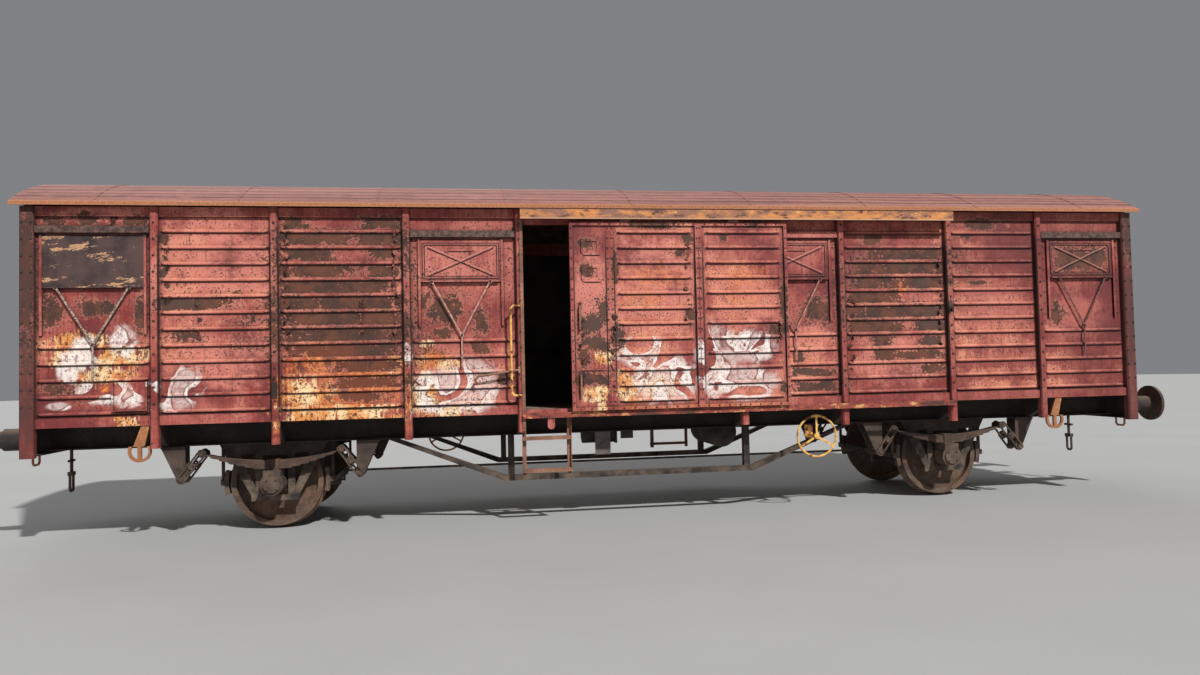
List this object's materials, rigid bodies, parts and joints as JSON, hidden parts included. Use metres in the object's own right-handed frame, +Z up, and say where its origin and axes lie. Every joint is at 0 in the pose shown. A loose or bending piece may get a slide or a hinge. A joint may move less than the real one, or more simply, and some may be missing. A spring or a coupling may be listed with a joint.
{
  "type": "two-axle covered goods wagon",
  "caption": "Railway goods van with ribbed steel sides, arched roof, sliding side doors, vent shutters and leaf-sprung wheelsets.",
  "frame": {"origin": "on the floor under the middle of the wagon, at the level of the lowest points of the wheel flanges; the rails' running surface would be 28 mm above it", "axes": "+X along the wagon to the picture's right, +Y across it away from the viewer, +Z up"},
  "size_m": [14.02, 3, 3.963],
  "materials": {
    "panel_paint": "faded oxide red paint, peeled to rust",
    "body_paint": "faded oxide red paint",
    "roof_paint": "dull red brown, rusted seams",
    "rusty_steel": "orange brown rust",
    "underframe": "dark dirty steel",
    "castings": "dark rusty castings",
    "spring_steel": "dark greasy steel",
    "wheel_steel": "rusted wheels with worn treads",
    "floor_boards": "worn grey planks",
    "yellow_paint": "faded yellow paint"
  },
  "bodies": {
    "wagon": {"side_posts_near": "body_paint", "side_posts_far": "body_paint", "side_rails_near": "body_paint", "side_rails_far": "body_paint", "side_panels_near": "panel_paint", "side_panels_far": "panel_paint", "vent_guides": "body_paint", "end_wall_left": "panel_paint", "end_wall_right": "panel_paint", "end_posts": "body_paint", "roof": "roof_paint", "floor": "floor_boards", "lower_door_rails": "rusty_steel", "door_track_covers": "rusty_steel", "sole_bars": "underframe", "outriggers": "underframe", "cross_members": "underframe", "headstocks": "underframe", "axleboxes": "castings", "axle_guards": "underframe", "leaf_springs": "spring_steel", "spring_links": "spring_steel", "spring_hangers": "underframe", "trusses": "underframe", "door_ladders": "rusty_steel", "handrails": "yellow_paint", "handbrake_wheels": "yellow_paint", "rope_hooks": "rusty_steel", "label_trays": "body_paint", "buffer_casings": "castings", "buffer_heads": "castings", "draw_hooks": "castings", "roof_hoops": "body_paint", "jamb_strips": "rusty_steel", "door_catches": "rusty_steel", "screw_couplings": "castings", "brake_cocks": "castings", "shunter_handles": "underframe", "brake_shoes": "castings", "brake_beams": "underframe", "brake_rods": "underframe", "brake_cylinder": "underframe", "air_reservoir": "underframe", "changeover_plates": "castings"},
    "wheelset_left": {"axle_left": "wheel_steel", "wheels_left": "wheel_steel"},
    "wheelset_right": {"axle_right": "wheel_steel", "wheels_right": "wheel_steel"},
    "sliding_door_near": {"door_near": "panel_paint", "door_fittings_near": "rusty_steel"},
    "sliding_door_far": {"door_far": "panel_paint", "door_fittings_far": "rusty_steel"},
    "vent_near_outer_left": {"shutter_near_outer_left": "panel_paint"},
    "vent_near_inner_left": {"shutter_near_inner_left": "panel_paint"},
    "vent_near_inner_right": {"shutter_near_inner_right": "panel_paint"},
    "vent_near_outer_right": {"shutter_near_outer_right": "panel_paint"},
    "vent_far_outer_left": {"shutter_far_outer_left": "panel_paint"},
    "vent_far_inner_left": {"shutter_far_inner_left": "panel_paint"},
    "vent_far_inner_right": {"shutter_far_inner_right": "panel_paint"},
    "vent_far_outer_right": {"shutter_far_outer_right": "panel_paint"}
  },
  "joints": [
    {"name": "wheelset_left_turn", "type": "hinge", "parent": "wagon", "child": "wheelset_left", "pos_m": [-4, 0, 0.528], "axis": [0, 1, 0], "continuous": true},
    {"name": "wheelset_right_turn", "type": "hinge", "parent": "wagon", "child": "wheelset_right", "pos_m": [4, 0, 0.528], "axis": [0, 1, 0], "continuous": true},
    {"name": "door_near_slide", "type": "slide", "parent": "wagon", "child": "sliding_door_near", "axis": [1, 0, 0], "range_m": [-0.54, 2]},
    {"name": "door_far_slide", "type": "slide", "parent": "wagon", "child": "sliding_door_far", "axis": [-1, 0, 0], "range_m": [0, 2.54]},
    {"name": "vent_near_outer_left_slide", "type": "slide", "parent": "wagon", "child": "vent_near_outer_left", "axis": [0, 0, -1], "range_m": [0, 0.48]},
    {"name": "vent_near_inner_left_slide", "type": "slide", "parent": "wagon", "child": "vent_near_inner_left", "axis": [0, 0, -1], "range_m": [0, 0.48]},
    {"name": "vent_near_inner_right_slide", "type": "slide", "parent": "wagon", "child": "vent_near_inner_right", "axis": [0, 0, -1], "range_m": [0, 0.48]},
    {"name": "vent_near_outer_right_slide", "type": "slide", "parent": "wagon", "child": "vent_near_outer_right", "axis": [0, 0, -1], "range_m": [0, 0.48]},
    {"name": "vent_far_outer_left_slide", "type": "slide", "parent": "wagon", "child": "vent_far_outer_left", "axis": [0, 0, -1], "range_m": [0, 0.48]},
    {"name": "vent_far_inner_left_slide", "type": "slide", "parent": "wagon", "child": "vent_far_inner_left", "axis": [0, 0, -1], "range_m": [0, 0.48]},
    {"name": "vent_far_inner_right_slide", "type": "slide", "parent": "wagon", "child": "vent_far_inner_right", "axis": [0, 0, -1], "range_m": [0, 0.48]},
    {"name": "vent_far_outer_right_slide", "type": "slide", "parent": "wagon", "child": "vent_far_outer_right", "axis": [0, 0, -1], "range_m": [0, 0.48]}
  ]
}
